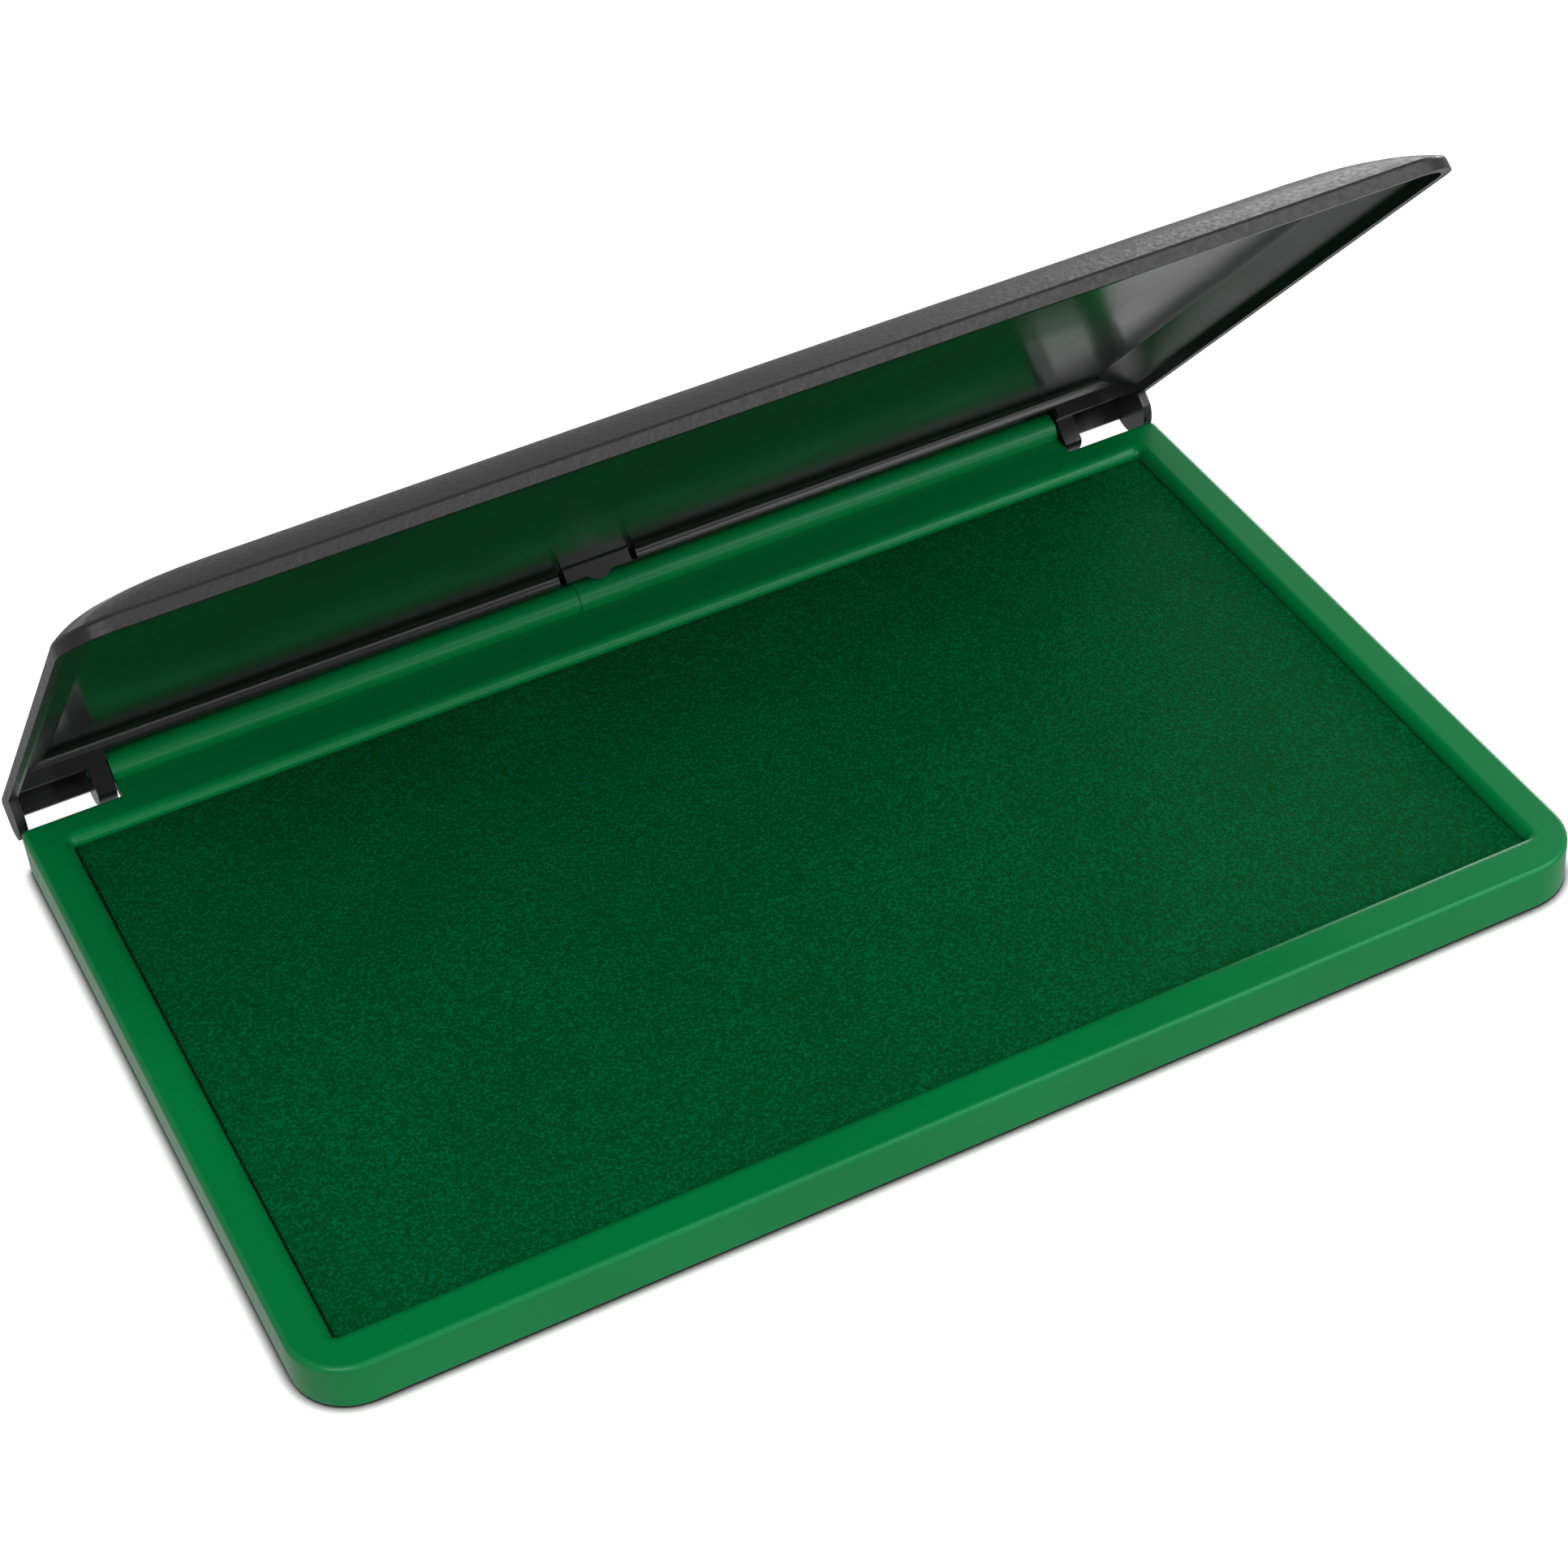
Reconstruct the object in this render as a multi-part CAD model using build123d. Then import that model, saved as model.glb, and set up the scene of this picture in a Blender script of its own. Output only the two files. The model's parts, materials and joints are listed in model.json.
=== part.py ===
from build123d import *
import os

os.makedirs("parts", exist_ok=True)

# Ink pad with a hinged lid.  Millimetres, +Z up.  The origin is on the table plane, under the middle
# of the pad.  +X runs along the hinge, -Y is the front edge that the lid opens from.

# ---- pad -------------------------------------------------------------------------------------
PAD_W = 160.0            # opening that the pad fills, along X
PAD_D = 94.0             # opening that the pad fills, along Y
PAD_TOP = 5.3            # height of the inked surface
PAD_GAP = 0.2            # slack between the pad and the recess wall
CLOTH_T = 0.5
CLOTH_EDGE_R = 0.45
BOARD_T = 0.8
CORE_INSET = 0.6         # felt and board stand this far inside the cloth's outer face
LAYER_GAP = 0.05         # slack between the layers of the pad

# ---- tray ------------------------------------------------------------------------------------
TRAY_W = 171.4
TRAY_FRONT = -53.2
TRAY_REAR = 52.2
TRAY_H = 6.5
TRAY_CORNER_R = 7.5      # front corners, in plan
TRAY_REAR_R = 0.9        # rear corners, in plan
TRAY_WALL = 1.5
TRAY_FLOOR = 1.6
RIM_T = 2.2              # thickness of the rim over the hollow
RECESS_MARGIN = 0.2      # recess beyond the pad's opening, on each side
RECESS_WALL = 1.4
RECESS_CORNER_R = 0.6    # corners of the recess, in plan
RECESS_R = 1.5           # rounding from the rim down into the recess
RIM_EDGE_R = 0.7
FOOT_EDGE_R = 0.3
CHANNEL_CORNER_R = 0.4

# ---- hinge -----------------------------------------------------------------------------------
HINGE_Y = 57.5
HINGE_Z = 7.0
BARREL_R = 2.3
BARREL_END = 71.6        # half length of the barrel
CAM_R = 2.5              # thicker middle of the barrel, under the spring tongue
CAM_HALF = 3.6
PIN_R = 1.2
PIN_END = 74.3
BORE_R = 1.25
WEB_T = 1.5              # ledge that carries the barrel behind the tray
WEB_ROOT = 1.0           # how far the ledge runs into the tray's rear wall
WEB_END = -0.6           # the ledge stops inside the barrel, just short of its axis

# ---- lid, drawn closed with the hinge axis at its own origin, front towards -Y ----------------
OPEN_ANGLE = 46.8        # how far open the lid stands
LID_W = 171.5
LID_FRONT = -110.6
LID_BACK = 5.1
LID_CORNER_R = 6.5
LID_BACK_R = 0.9
LID_RIM_Z = -0.2
LID_CREASE_Z = 1.5       # top of the upright wall
LID_TOP_Z = 5.75
LID_CREASE_R = 0.6
LID_DRAFT = 0.1          # how far the upright wall leans in by the crease
# The rounded shoulder above the crease, section by section: height, run at the front and the sides,
# run at the back, corner radius, and how far the middle of the front bows forward.
SHOULDER = [
    (3.6, 3.2, 1.7, 8.0, 0.3),
    (4.9, 6.0, 3.0, 10.5, 0.9),
    (5.5, 8.6, 4.2, 13.5, 1.8),
    (LID_TOP_Z, 12.5, 6.0, 16.0, 3.0),
]
LID_WALL = 1.3
LIP_Z = 1.2              # top of the upright part inside
CEILING_Z = 4.0
INNER_BEVEL = 5.7
INNER_BEVEL_BACK = 3.4
CEILING_R = 8.0          # front corners of the ceiling, in plan
ROOM_CORNER_R = 0.3      # corners of the narrow room behind the inner rear wall
COVE_R = 1.6             # rounding between the ceiling and the inner rear wall

BACK_WALL_FRONT = -4.1   # inner rear wall, in front of the hinge
BACK_WALL_T = 1.2
BACK_WALL_LOW = 2.1      # lower edge between the arms, just above the barrel
BACK_WALL_END_LOW = 0.5  # lower edge outside the arms
SKIRT_LOW = -1.6         # lower edge of the outer rear wall
EAR_R = 5.0
EAR_FRONT = -4.5
EAR_TOP = 1.0
ARM_IN = 71.9
ARM_OUT = 74.5
ARM_R = 4.3
ARM_FRONT = -2.7         # flat front face of the arms

TONGUE_HALF = 4.9
TONGUE_SLOT = 0.9
TONGUE_T = 1.0
TONGUE_LOW = 2.0
TONGUE_LAP = 0.5         # the tongue stops this far below the lid's top face
TONGUE_ROOT_RUN = 1.8    # shallow relief in the ceiling in front of the tongue's root
TONGUE_ROOT_RISE = 0.5
NOSE_R = 2.4             # rounded nose in the middle of the tongue's tip
NOSE_LOW = 1.1
NOSE_RISE = 0.8          # how far the nose runs up over the tongue's lower edge

LAP = 0.1                # overrun of cuts and of pieces that merge
REACH = 90.0             # half width of cutting blocks that clear the whole part
DEEP = 10.0              # extent of cutting blocks that clear the whole part


def outline(x_half, y_front, y_back, r_front, r_back=0.0, bow=0.0):
    """Plan outline with rounded corners; bow is how far the front's middle stands before its ends."""
    back_left, back_right = (-x_half, y_back), (x_half, y_back)
    front_left, front_right = (-x_half, y_front + bow), (x_half, y_front + bow)
    if bow > 0:
        front = Edge.make_three_point_arc(front_left, (0, y_front), front_right)
    else:
        front = Edge.make_line(front_left, front_right)
    left = Edge.make_line(back_left, front_left)
    right = Edge.make_line(front_right, back_right)
    back = Edge.make_line(back_right, back_left)
    face = Face(Wire([left, front, right, back]))
    fronts = face.vertices().filter_by(lambda v: v.Y < y_front + bow + 0.01)
    face = face.fillet_2d(r_front, fronts)
    if r_back > 0:
        backs = face.vertices().filter_by(lambda v: v.Y > y_back - 0.01)
        face = face.fillet_2d(r_back, backs)
    return face


def block(x0, x1, y0, y1, z0, z1):
    """Axis-aligned box given by its six limits."""
    box = Box(x1 - x0, y1 - y0, z1 - z0)
    return Pos((x0 + x1) / 2, (y0 + y1) / 2, (z0 + z1) / 2) * box


def rod(radius, x0, x1):
    """Cylinder lying along X on the hinge axis."""
    return Pos((x0 + x1) / 2, 0, 0) * Rot(0, 90, 0) * Cylinder(radius, x1 - x0)


def hollow(y_front, y_back, front_run, back_run, low_r, high_r):
    """Room inside the lid: upright up to the lip, then sloping in to the ceiling."""
    x_half = LID_W / 2 - LID_WALL
    low = outline(x_half, y_front, y_back, low_r)
    high = outline(x_half - INNER_BEVEL, y_front + front_run, y_back - back_run, high_r)
    upright = Pos(0, 0, LIP_Z - DEEP) * extrude(low, DEEP)
    return upright + loft([Pos(0, 0, LIP_Z) * low, Pos(0, 0, CEILING_Z) * high], ruled=True)


# ---- tray ------------------------------------------------------------------------------------
tray_face = outline(TRAY_W / 2, TRAY_FRONT, TRAY_REAR, TRAY_CORNER_R, TRAY_REAR_R)
tray = extrude(tray_face, TRAY_H)
tray = fillet(tray.faces().sort_by(Axis.Z)[-1].outer_wire().edges(), RIM_EDGE_R)
tray = fillet(tray.faces().sort_by(Axis.Z)[0].outer_wire().edges(), FOOT_EDGE_R)

recess_x = PAD_W / 2 + RECESS_MARGIN
recess_y = PAD_D / 2 + RECESS_MARGIN
recess_face = outline(recess_x, -recess_y, recess_y, RECESS_CORNER_R, RECESS_CORNER_R)
tray -= Pos(0, 0, TRAY_FLOOR) * extrude(recess_face, TRAY_H)
recess_edge = tray.faces().sort_by(Axis.Z)[-1].inner_wires()[0].edges()
tray = fillet(recess_edge, RECESS_R)

# hollow under the rim, open below, so that every wall is about the same thickness
channel_face = outline(
    TRAY_W / 2 - TRAY_WALL,
    TRAY_FRONT + TRAY_WALL,
    TRAY_REAR - TRAY_WALL,
    TRAY_CORNER_R - TRAY_WALL,
    CHANNEL_CORNER_R,
)
channel_x = recess_x + RECESS_WALL
channel_y = recess_y + RECESS_WALL
channel = extrude(channel_face, TRAY_H - RIM_T)
channel -= block(-channel_x, channel_x, -channel_y, channel_y, -LAP, TRAY_H)
tray -= channel

# ledge, barrel and end pins of the hinge
web_top = TRAY_H - HINGE_Z
web_front = TRAY_REAR - HINGE_Y - WEB_ROOT
web = block(-BARREL_END, BARREL_END, web_front, WEB_END, web_top - WEB_T, web_top)
barrel = rod(BARREL_R, -BARREL_END, BARREL_END) + rod(CAM_R, -CAM_HALF, CAM_HALF)
barrel += rod(PIN_R, -PIN_END, PIN_END)
tray += Pos(0, HINGE_Y, HINGE_Z) * (web + barrel)

# ---- pad -------------------------------------------------------------------------------------
pad_x = recess_x - PAD_GAP
pad_y = recess_y - PAD_GAP
core_x = pad_x - CORE_INSET
core_y = pad_y - CORE_INSET
inside_x = pad_x - CLOTH_T
inside_y = pad_y - CLOTH_T
board_low = TRAY_FLOOR + LAYER_GAP
board_top = board_low + BOARD_T
cloth_low = PAD_TOP - CLOTH_T

pad_board = block(-core_x, core_x, -core_y, core_y, board_low, board_top)
pad_felt = block(-core_x, core_x, -core_y, core_y, board_top + LAYER_GAP, cloth_low - LAYER_GAP)
cloth_body = block(-pad_x, pad_x, -pad_y, pad_y, board_low, PAD_TOP)
cloth_body = fillet(cloth_body.faces().sort_by(Axis.Z)[-1].edges(), CLOTH_EDGE_R)
pad_cloth = cloth_body - block(-inside_x, inside_x, -inside_y, inside_y, 0, cloth_low)

# ---- lid -------------------------------------------------------------------------------------
lid_face = outline(LID_W / 2, LID_FRONT, LID_BACK, LID_CORNER_R, LID_BACK_R)
crease_face = outline(
    LID_W / 2 - LID_DRAFT, LID_FRONT + LID_DRAFT, LID_BACK - LID_DRAFT, LID_CORNER_R, LID_BACK_R
)
sections = [Pos(0, 0, LID_CREASE_Z) * crease_face]
wall = loft([Pos(0, 0, LID_RIM_Z) * lid_face, sections[0]], ruled=True)
for height, run, back_run, corner_r, bow in SHOULDER:
    section = outline(
        LID_W / 2 - run, LID_FRONT + run, LID_BACK - back_run, corner_r, LID_BACK_R, bow
    )
    sections.append(Pos(0, 0, height) * section)
outer = wall + loft(sections)
crease = outer.edges().filter_by(
    lambda e: abs(e.center().Z - LID_CREASE_Z) < 0.01 and e.center().Y < LID_BACK - 1
)
outer = fillet(crease, LID_CREASE_R)

main_room = hollow(
    LID_FRONT + LID_WALL, BACK_WALL_FRONT, INNER_BEVEL, 0, LID_CORNER_R - LID_WALL, CEILING_R
)
cove_edge = main_room.edges().filter_by(Axis.X).sort_by(Axis.Y)[-4:].sort_by(Axis.Z)[-1]
main_room = fillet(cove_edge, COVE_R)
back_wall_rear = BACK_WALL_FRONT + BACK_WALL_T
room_back = LID_BACK - LID_WALL + LAP
rear_room = hollow(
    back_wall_rear, room_back, 0, INNER_BEVEL_BACK, ROOM_CORNER_R, ROOM_CORNER_R
)
lid = outer - main_room - rear_room

# lower edge of the inner rear wall
cut_y = (BACK_WALL_FRONT - LAP, back_wall_rear + LAP)
lid -= block(-REACH, REACH, *cut_y, -DEEP, BACK_WALL_END_LOW)
lid -= block(-ARM_IN, ARM_IN, *cut_y, -DEEP, BACK_WALL_LOW)

# skirt of the outer rear wall
skirt = Pos(0, 0, SKIRT_LOW) * extrude(lid_face, LID_RIM_Z - SKIRT_LOW + 2 * LAP)
lid += skirt & block(-REACH, REACH, room_back, DEEP, -DEEP, DEEP)

# ears at the ends of the lid, and arms with the bores for the hinge pins
lid_plan = Pos(0, 0, -DEEP) * extrude(lid_face, 2 * DEEP)
ear_clip = lid_plan & block(-REACH, REACH, EAR_FRONT, DEEP, -DEEP, EAR_TOP)
for side in (-1, 1):
    ear_x = sorted((side * (LID_W / 2 - LID_WALL), side * LID_W / 2))
    lid += rod(EAR_R, *ear_x) & ear_clip
    arm_x = sorted((side * ARM_IN, side * ARM_OUT))
    arm = rod(ARM_R, *arm_x) & block(-REACH, REACH, ARM_FRONT, DEEP, -DEEP, DEEP)
    arm += block(*arm_x, ARM_FRONT, room_back + LAP, 0, LID_TOP_Z) & outer
    lid += arm
    lid -= rod(BORE_R, *arm_x)

# spring tongue over the middle of the barrel, free on both sides and at its tip
slot_x = TONGUE_HALF + TONGUE_SLOT
root_y = BACK_WALL_FRONT - TONGUE_ROOT_RUN
root_z = CEILING_Z + TONGUE_ROOT_RISE
tongue_y = (BACK_WALL_FRONT, BACK_WALL_FRONT + TONGUE_T)
lid -= block(-slot_x, slot_x, root_y, cut_y[1], -DEEP, CEILING_Z)
lid -= block(-TONGUE_HALF, TONGUE_HALF, root_y, BACK_WALL_FRONT, 0, root_z)
lid += block(-TONGUE_HALF, TONGUE_HALF, *tongue_y, TONGUE_LOW, LID_TOP_Z - TONGUE_LAP)
nose = Pos(0, sum(tongue_y) / 2, NOSE_LOW + NOSE_R) * Rot(90, 0, 0) * Cylinder(NOSE_R, TONGUE_T)
lid += nose & block(-NOSE_R, NOSE_R, *tongue_y, NOSE_LOW, TONGUE_LOW + NOSE_RISE)

lid = Pos(0, HINGE_Y, HINGE_Z) * Rot(-OPEN_ANGLE, 0, 0) * lid

nodes = {
    "tray": tray,
    "lid": lid,
    "pad_board": pad_board,
    "pad_felt": pad_felt,
    "pad_cloth": pad_cloth,
}
for name, shape in nodes.items():
    export_step(shape, f"parts/{name}.step")
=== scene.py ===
import json
import math

import bmesh
import bpy
from mathutils import Matrix, Vector, noise


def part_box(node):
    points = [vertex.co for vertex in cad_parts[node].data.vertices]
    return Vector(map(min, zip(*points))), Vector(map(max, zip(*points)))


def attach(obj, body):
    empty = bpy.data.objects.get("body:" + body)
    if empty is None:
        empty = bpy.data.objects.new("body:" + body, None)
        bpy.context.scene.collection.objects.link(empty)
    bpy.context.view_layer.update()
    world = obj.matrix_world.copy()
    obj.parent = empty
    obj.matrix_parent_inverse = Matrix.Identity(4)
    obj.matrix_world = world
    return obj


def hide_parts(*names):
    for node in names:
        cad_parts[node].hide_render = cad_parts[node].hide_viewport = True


MM = 0.001
# The lid's material is grained above a surface that runs inside its wall, and glossy below it.
# Places are in metres, across from the lid's middle or forward of the hinge axis.
SHELL_MIDDLE = 0.0048    # height of that surface over the hinge axis, inside the flat top wall
INNER_SIDE = 0.0785      # the surface falls from here to the sides
INNER_FRONT = 0.1035     # from here to the front
INNER_REAR = -0.0001     # and from here to the rear
SHOULDER_FALL = 0.55     # how steeply it falls
REAR_STEEPER = 1.4       # how many times steeper it falls to the rear
OUTER_SIDE = 0.0849      # past this, OUTER_FRONT or OUTER_REAR everything is grained
OUTER_FRONT = 0.1099
OUTER_REAR = -0.0047
WAVES_PER_METRE = 45.0   # of the unevenness of the pad's top
CROWN_SHARE = 0.25       # of the pad's width, over which its top falls to each edge

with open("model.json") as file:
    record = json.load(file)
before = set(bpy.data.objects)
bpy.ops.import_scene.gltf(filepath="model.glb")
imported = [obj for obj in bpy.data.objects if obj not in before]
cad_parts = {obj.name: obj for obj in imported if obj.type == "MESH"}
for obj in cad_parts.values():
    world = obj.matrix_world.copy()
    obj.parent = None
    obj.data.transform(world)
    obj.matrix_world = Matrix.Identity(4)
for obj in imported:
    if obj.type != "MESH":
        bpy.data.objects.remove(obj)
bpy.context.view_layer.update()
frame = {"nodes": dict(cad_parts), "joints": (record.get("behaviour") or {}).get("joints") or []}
NODES = frame["nodes"]
HINGE = Vector(frame["joints"][0]["pos_m"])
LID_OPEN = math.radians(-frame["joints"][0]["range_deg"][0])


# ---- camera ------------------------------------------------------------------------------------
def make_camera():
    """Looks down on the open pad from the front left, turned a little about its own axis."""
    azimuth, elevation, roll = (math.radians(a) for a in (-23.18, 41.69, -5.14))
    level = math.cos(elevation)
    back = Vector((math.sin(azimuth) * level, -math.cos(azimuth) * level, math.sin(elevation)))
    right = (-back).cross(Vector((0, 0, 1))).normalized()
    up = right.cross(-back)
    right, up = (
        math.cos(roll) * right + math.sin(roll) * up,
        math.cos(roll) * up - math.sin(roll) * right,
    )
    data = bpy.data.cameras.new("camera")
    data.lens = 81.47
    data.sensor_width = 36.0
    data.clip_start = 0.01
    data.clip_end = 20.0
    camera = bpy.data.objects.new("camera", data)
    bpy.context.scene.collection.objects.link(camera)
    turn = Matrix((right, up, back)).transposed().to_4x4()
    place = Vector((-130.6, -306.2, 311.92)) * MM
    camera.matrix_world = Matrix.Translation(place) @ turn
    bpy.context.scene.camera = camera


# ---- shader helpers ----------------------------------------------------------------------------
def material(name):
    """A new material with its node tree, its Principled shader and a function that adds linked nodes."""
    made = bpy.data.materials.new(name)
    made.use_nodes = True
    tree = made.node_tree
    shader = tree.nodes["Principled BSDF"]

    def add(kind, values=(), **settings):
        node = tree.nodes.new(kind)
        for key, value in settings.items():
            setattr(node, key, value)
        for socket, value in dict(values).items():
            if isinstance(value, bpy.types.NodeSocket):
                tree.links.new(value, node.inputs[socket])
            else:
                node.inputs[socket].default_value = value
        return node

    def join(output, socket):
        tree.links.new(output, shader.inputs[socket])

    return made, shader, add, join


def object_point(add):
    """The point on the object at rest, in metres."""
    return add("ShaderNodeTexCoord").outputs["Object"]


def math_node(add, operation, *values):
    return add("ShaderNodeMath", dict(enumerate(values)), operation=operation).outputs[0]


def noise_node(add, point, scale, detail=2.0, roughness=0.5):
    values = {"Vector": point, "Scale": scale, "Detail": detail, "Roughness": roughness}
    return add("ShaderNodeTexNoise", values).outputs["Fac"]


def ramp(add, value, low, high, to_low, to_high):
    """value from low..high to to_low..to_high, clamped."""
    values = {"Value": value, "From Min": low, "From Max": high, "To Min": to_low, "To Max": to_high}
    return add("ShaderNodeMapRange", values).outputs["Result"]


def mix_colour(add, factor, a, b):
    node = add("ShaderNodeMix", {"Factor": factor}, data_type="RGBA")
    first, second = (s for s in node.inputs if s.type == "RGBA")
    first.default_value = (*a, 1)
    second.default_value = (*b, 1)
    return next(s for s in node.outputs if s.type == "RGBA")


def bump(add, height, distance):
    values = {"Height": height, "Distance": distance, "Strength": 1.0}
    return add("ShaderNodeBump", values).outputs["Normal"]


# ---- materials ---------------------------------------------------------------------------------
def tray_plastic():
    """Satin green moulded plastic with a very fine surface, slightly cloudy in colour."""
    made, shader, add, join = material("tray_plastic")
    point = object_point(add)
    clouds = noise_node(add, point, 35.0, 3.0)
    tone = ramp(add, clouds, 0.35, 0.65, 0, 1)
    join(mix_colour(add, tone, (0.0, 0.172, 0.040), (0.0, 0.190, 0.045)), "Base Color")
    fine = noise_node(add, point, 900.0, 2.0)
    join(ramp(add, fine, 0.3, 0.7, 0.27, 0.29), "Roughness")
    join(bump(add, fine, 0.000002), "Normal")
    shader.inputs["IOR"].default_value = 1.45
    shader.inputs["Specular Tint"].default_value = (0.55, 0.95, 0.85, 1)
    return made


def lid_plastic():
    """Black moulded plastic: fine spark grain on the outside, smooth and glossy inside."""
    made, shader, add, join = material("lid_plastic")
    point = object_point(add)
    axis_point = add("ShaderNodeVectorMath", {0: point, 1: HINGE}, operation="SUBTRACT").outputs[0]
    forward = (0, -math.cos(LID_OPEN), math.sin(LID_OPEN))
    outward = (0, math.sin(LID_OPEN), math.cos(LID_OPEN))
    a = add("ShaderNodeVectorMath", {0: axis_point, 1: forward}, operation="DOT_PRODUCT").outputs["Value"]
    b = add("ShaderNodeVectorMath", {0: axis_point, 1: outward}, operation="DOT_PRODUCT").outputs["Value"]
    x = math_node(add, "ABSOLUTE", add("ShaderNodeSeparateXYZ", {0: axis_point}).outputs[0])
    side = math_node(add, "SUBTRACT", x, INNER_SIDE)
    front = math_node(add, "SUBTRACT", a, INNER_FRONT)
    rear = math_node(add, "MULTIPLY", math_node(add, "SUBTRACT", a, INNER_REAR), -REAR_STEEPER)
    run = math_node(add, "MAXIMUM", math_node(add, "MAXIMUM", side, front), rear)
    run = math_node(add, "MAXIMUM", run, 0.0)
    depth = math_node(add, "ADD", b, math_node(add, "MULTIPLY", run, SHOULDER_FALL))
    outer = math_node(add, "GREATER_THAN", depth, SHELL_MIDDLE)
    outer = math_node(add, "MAXIMUM", outer, math_node(add, "GREATER_THAN", x, OUTER_SIDE))
    outer = math_node(add, "MAXIMUM", outer, math_node(add, "GREATER_THAN", a, OUTER_FRONT))
    outer = math_node(add, "MAXIMUM", outer, math_node(add, "LESS_THAN", a, OUTER_REAR))
    grain = noise_node(add, point, 1500.0, 2.0)
    smears = noise_node(add, point, 60.0, 4.0)
    rough = ramp(add, grain, 0.3, 0.7, 0.34, 0.48)
    polish = ramp(add, smears, 0.35, 0.7, 0.15, 0.21)
    slope = ramp(add, side, 0.0, 0.001, 0.0, 0.1)
    gloss = math_node(add, "ADD", polish, slope)
    pick = add("ShaderNodeMix", {"Factor": outer, 2: gloss, 3: rough}, data_type="FLOAT")
    join(pick.outputs[0], "Roughness")
    shader.inputs["Base Color"].default_value = (0.008, 0.008, 0.0085, 1)
    height = math_node(add, "MULTIPLY", grain, ramp(add, outer, 0, 1, 0.1, 1.0))
    join(bump(add, height, 0.00004), "Normal")
    shader.inputs["IOR"].default_value = 1.5
    return made


def inked_cloth():
    """Close-woven cloth soaked with green ink: fine lighter specks and hardly any gloss."""
    made, shader, add, join = material("inked_cloth")
    point = object_point(add)
    fibres = noise_node(add, point, 2600.0, 2.0, 0.7)
    blotches = noise_node(add, point, 60.0, 4.0)
    weave = math_node(add, "ADD", fibres, math_node(add, "MULTIPLY", blotches, 0.12))
    speck = ramp(add, weave, 0.52, 0.72, 0, 1)
    join(mix_colour(add, speck, (0.0, 0.064, 0.013), (0.0, 0.132, 0.044)), "Base Color")
    join(ramp(add, fibres, 0.3, 0.7, 0.55, 0.8), "Roughness")
    join(bump(add, fibres, 0.0002), "Normal")
    shader.inputs["Specular IOR Level"].default_value = 0.04
    shader.inputs["Specular Tint"].default_value = (0.3, 1.0, 0.75, 1)
    return made


def ink_felt():
    """Pressed felt, deep green with ink, with matted fibres."""
    made, _, add, join = material("ink_felt")
    point = object_point(add)
    fibres = noise_node(add, point, 700.0, 6.0, 0.7)
    join(mix_colour(add, fibres, (0.0, 0.02, 0.008), (0.001, 0.07, 0.03)), "Base Color")
    join(ramp(add, fibres, 0.3, 0.7, 0.8, 1.0), "Roughness")
    join(bump(add, fibres, 0.0004), "Normal")
    return made


def backing_board():
    """Grey-brown pressed board with short fibres."""
    made, _, add, join = material("backing_board")
    point = object_point(add)
    fibres = noise_node(add, point, 500.0, 6.0, 0.7)
    join(mix_colour(add, fibres, (0.20, 0.15, 0.10), (0.42, 0.33, 0.22)), "Base Color")
    join(ramp(add, fibres, 0.3, 0.7, 0.8, 0.95), "Roughness")
    join(bump(add, fibres, 0.0001), "Normal")
    return made


def floor_paper():
    """White studio paper that glows evenly, with a painted contact shadow: occlusion darkens it where the
    object almost touches it.
    """
    made, shader, add, join = material("floor_paper")
    open_sky = add("ShaderNodeAmbientOcclusion", {"Distance": 0.0028}, samples=16).outputs["AO"]
    # Painted contact shadow: the occlusion mask darkens both the paper's colour and its glow next to the
    # object.
    lit = ramp(add, open_sky, 0.5, 0.88, 0.0, 1.0)
    tone = noise_node(add, object_point(add), 3.0, 2.0)
    painted_shadow_tone = math_node(add, "MULTIPLY", lit, ramp(add, tone, 0.0, 1.0, 0.98, 1.0))
    join(mix_colour(add, painted_shadow_tone, (0.01, 0.01, 0.01), (0.92, 0.92, 0.92)), "Base Color")
    shader.inputs["Roughness"].default_value = 0.9
    shader.inputs["Emission Color"].default_value = (1, 1, 1, 1)
    join(math_node(add, "MULTIPLY", lit, 0.75), "Emission Strength")
    return made


# ---- pad ---------------------------------------------------------------------------------------
def stations(low, high, step, edge):
    """Places from low to high: close together round the two edges, evenly spaced between them."""
    rounding = [edge * (1 - math.cos(math.radians(turn))) for turn in (0, 22, 45, 67, 90)]
    count = max(4, round((high - low - 2 * edge) / step))
    middle = [low + edge + (high - low - 2 * edge) * i / count for i in range(1, count)]
    return [low + r for r in rounding] + middle + [high - r for r in reversed(rounding)]


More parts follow.
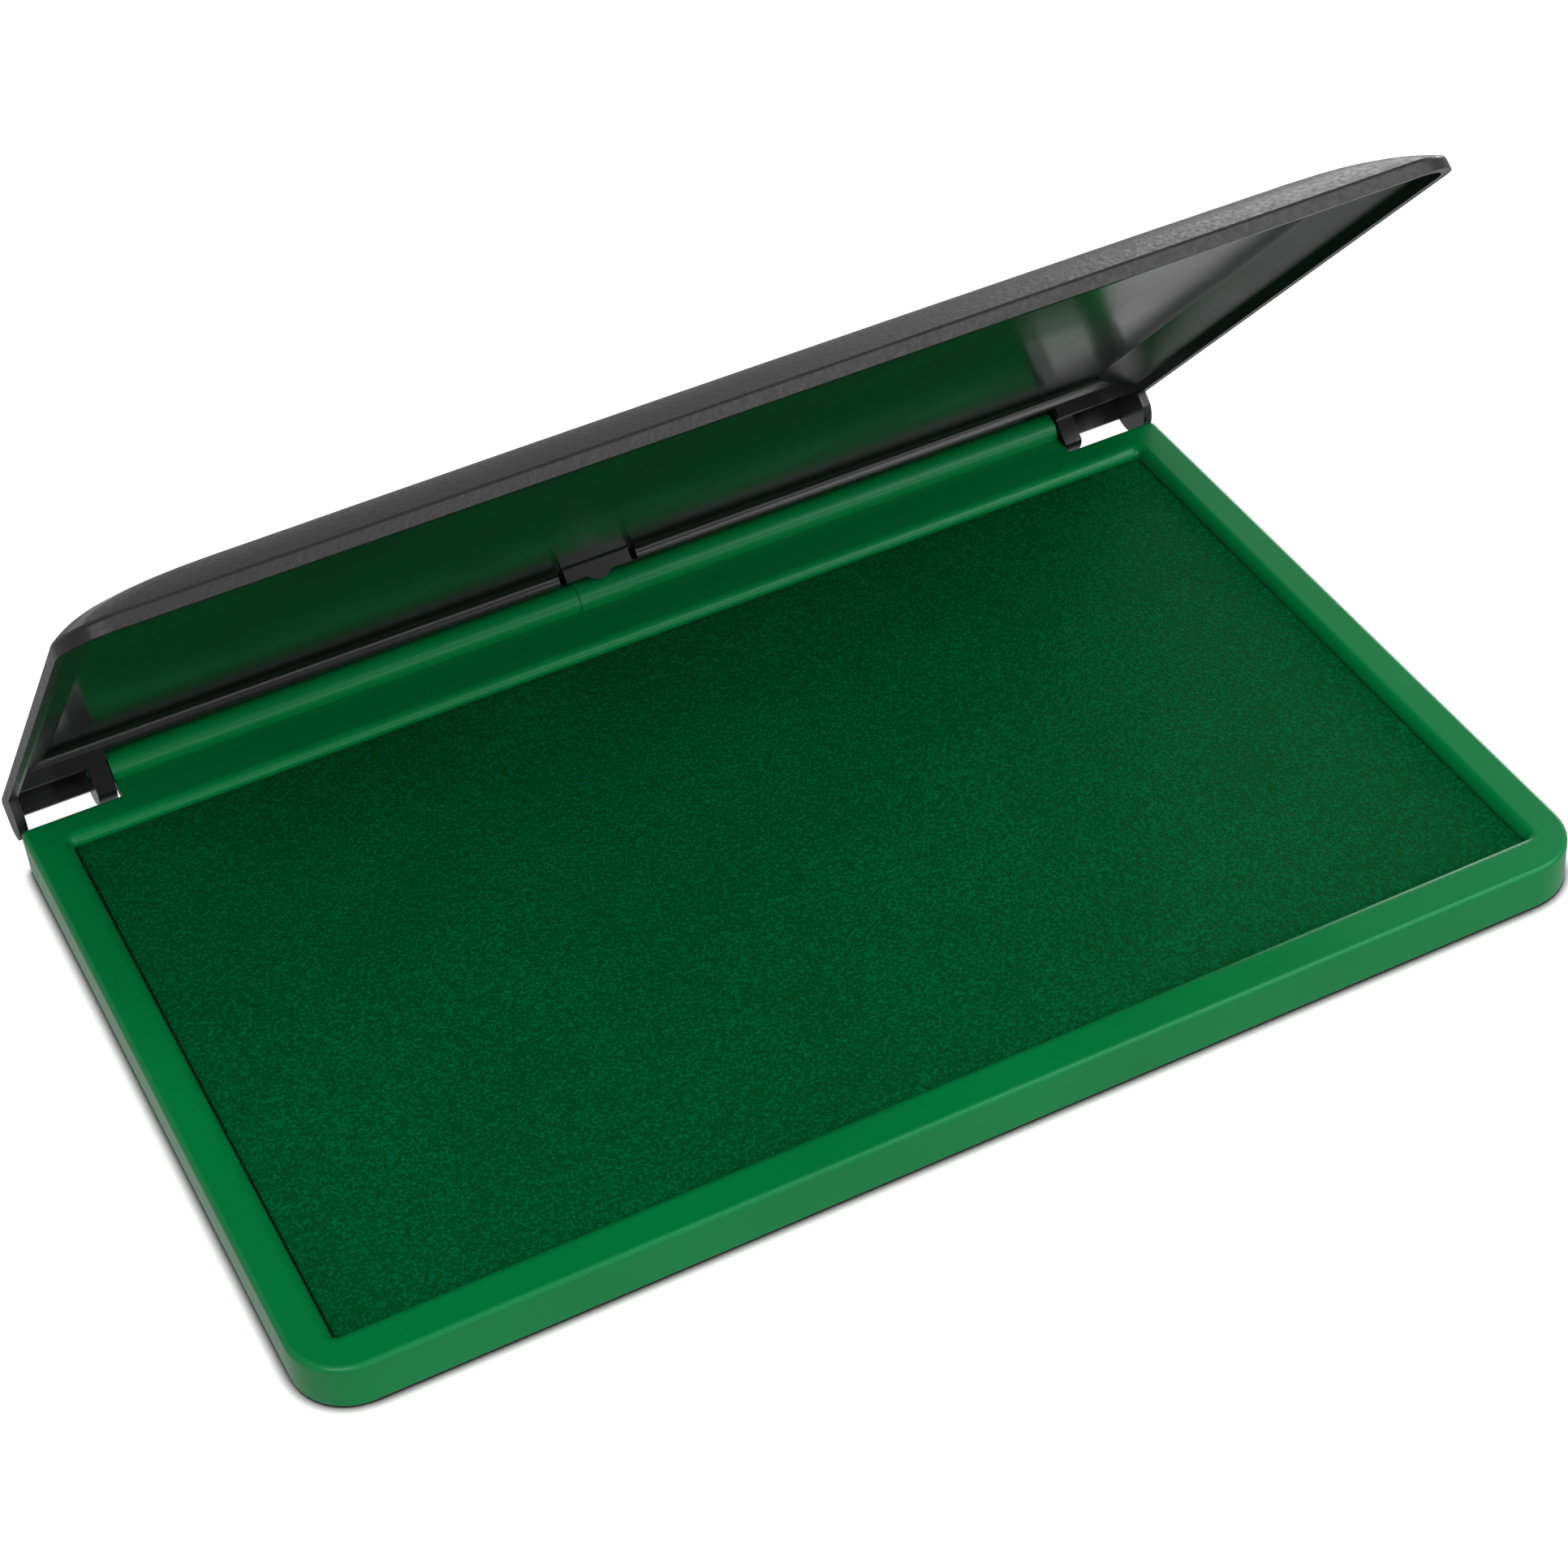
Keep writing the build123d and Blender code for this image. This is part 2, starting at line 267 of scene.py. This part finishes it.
def pad_body(name, node, finish, edge, step, swell, uneven):
    """Closed soft block in a CAD node's space: rounded top edges, a slight crown and an uneven top."""
    low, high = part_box(node)
    across = stations(low.x, high.x, step, edge)
    along = stations(low.y, high.y, step, edge)
    crown_run = CROWN_SHARE * (high.y - low.y)
    grid = bmesh.new()
    rows = []
    for y in along:
        row = []
        for x in across:
            inset = min(x - low.x, high.x - x, y - low.y, high.y - y)
            short = max(edge - inset, 0.0)
            drop = edge - math.sqrt(max(edge * edge - short * short, 0.0))
            crown = swell * (1 - min(1.0, inset / crown_run)) ** 2
            wave = uneven * noise.noise(Vector((x, y, 0)) * WAVES_PER_METRE)
            row.append(grid.verts.new((x, y, high.z - drop - crown - uneven + wave)))
        rows.append(row)
    for near, far in zip(rows, rows[1:]):
        for i in range(len(across) - 1):
            grid.faces.new((near[i], near[i + 1], far[i + 1], far[i]))
    rim = [e for e in grid.edges if e.is_boundary]
    sides = bmesh.ops.extrude_edge_only(grid, edges=rim)["geom"]
    for vert in (g for g in sides if isinstance(g, bmesh.types.BMVert)):
        vert.co.z = low.z
    bottom = [e for e in grid.edges if e.is_boundary]
    bmesh.ops.holes_fill(grid, edges=bottom)
    bmesh.ops.recalc_face_normals(grid, faces=grid.faces)
    mesh = bpy.data.meshes.new(name)
    grid.to_mesh(mesh)
    grid.free()
    mesh.shade_smooth()
    piece = bpy.data.objects.new(name, mesh)
    bpy.context.scene.collection.objects.link(piece)
    mesh.materials.append(finish)
    return piece


# ---- studio ------------------------------------------------------------------------------------
def area_light(name, place, target, size, power):
    data = bpy.data.lights.new(name, "AREA")
    data.shape = "RECTANGLE"
    data.size, data.size_y = size
    data.energy = power
    light = bpy.data.objects.new(name, data)
    bpy.context.scene.collection.objects.link(light)
    light.location = place
    light.rotation_mode = "QUATERNION"
    light.rotation_quaternion = (Vector(target) - Vector(place)).to_track_quat("-Z", "Y")


def make_studio():
    """White paper under an even world, with four soft lights."""
    world = bpy.data.worlds.new("studio")
    bpy.context.scene.world = world
    world.use_nodes = True
    background = world.node_tree.nodes["Background"]
    background.inputs["Color"].default_value = (1, 1, 1, 1)
    background.inputs["Strength"].default_value = 0.45
    bpy.context.scene.view_settings.view_transform = "Standard"
    floor_mesh = bpy.data.meshes.new("floor")
    reach = 3.0
    corners = [(-reach, -reach, 0), (reach, -reach, 0), (reach, reach, 0), (-reach, reach, 0)]
    floor_mesh.from_pydata(corners, [], [(0, 1, 2, 3)])
    floor = bpy.data.objects.new("floor", floor_mesh)
    bpy.context.scene.collection.objects.link(floor)
    floor.location.z = -0.0001    # just clear of the tray's underside
    floor_mesh.materials.append(floor_paper())
    floor.visible_diffuse = False
    floor.visible_glossy = False
    area_light("right_front", (0.88, -0.79, 1.07), (0, 0, 0.03), (1.2, 1.2), 12.0)
    area_light("left_front", (-0.79, -0.94, 1.07), (0, 0, 0.03), (1.0, 1.0), 11.0)
    area_light("front_card", (0.3, -1.5, 0.2), (0, 0, 0.02), (2.4, 0.5), 4.0)
    area_light("right_back", (1.0, 0.95, 0.22), (0.05, 0, 0.05), (0.9, 0.4), 6.0)


def carry_over(node, finish):
    """Gives a CAD node that is shown as it is its procedural material."""
    slots = NODES[node].data.materials
    slots.clear()
    slots.append(finish)


make_camera()
make_studio()
carry_over("tray", tray_plastic())
carry_over("lid", lid_plastic())
carry_over("pad_board", backing_board())

cover = pad_body(
    "pad_cover", "pad_cloth", inked_cloth(), edge=0.0003, step=0.0008, swell=0.0001, uneven=0.00005
)
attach(cover, "base")
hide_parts("pad_cloth")
core = pad_body("pad_core", "pad_felt", ink_felt(), edge=0.0003, step=0.004, swell=0.0, uneven=0.00005)
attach(core, "base")
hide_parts("pad_felt")
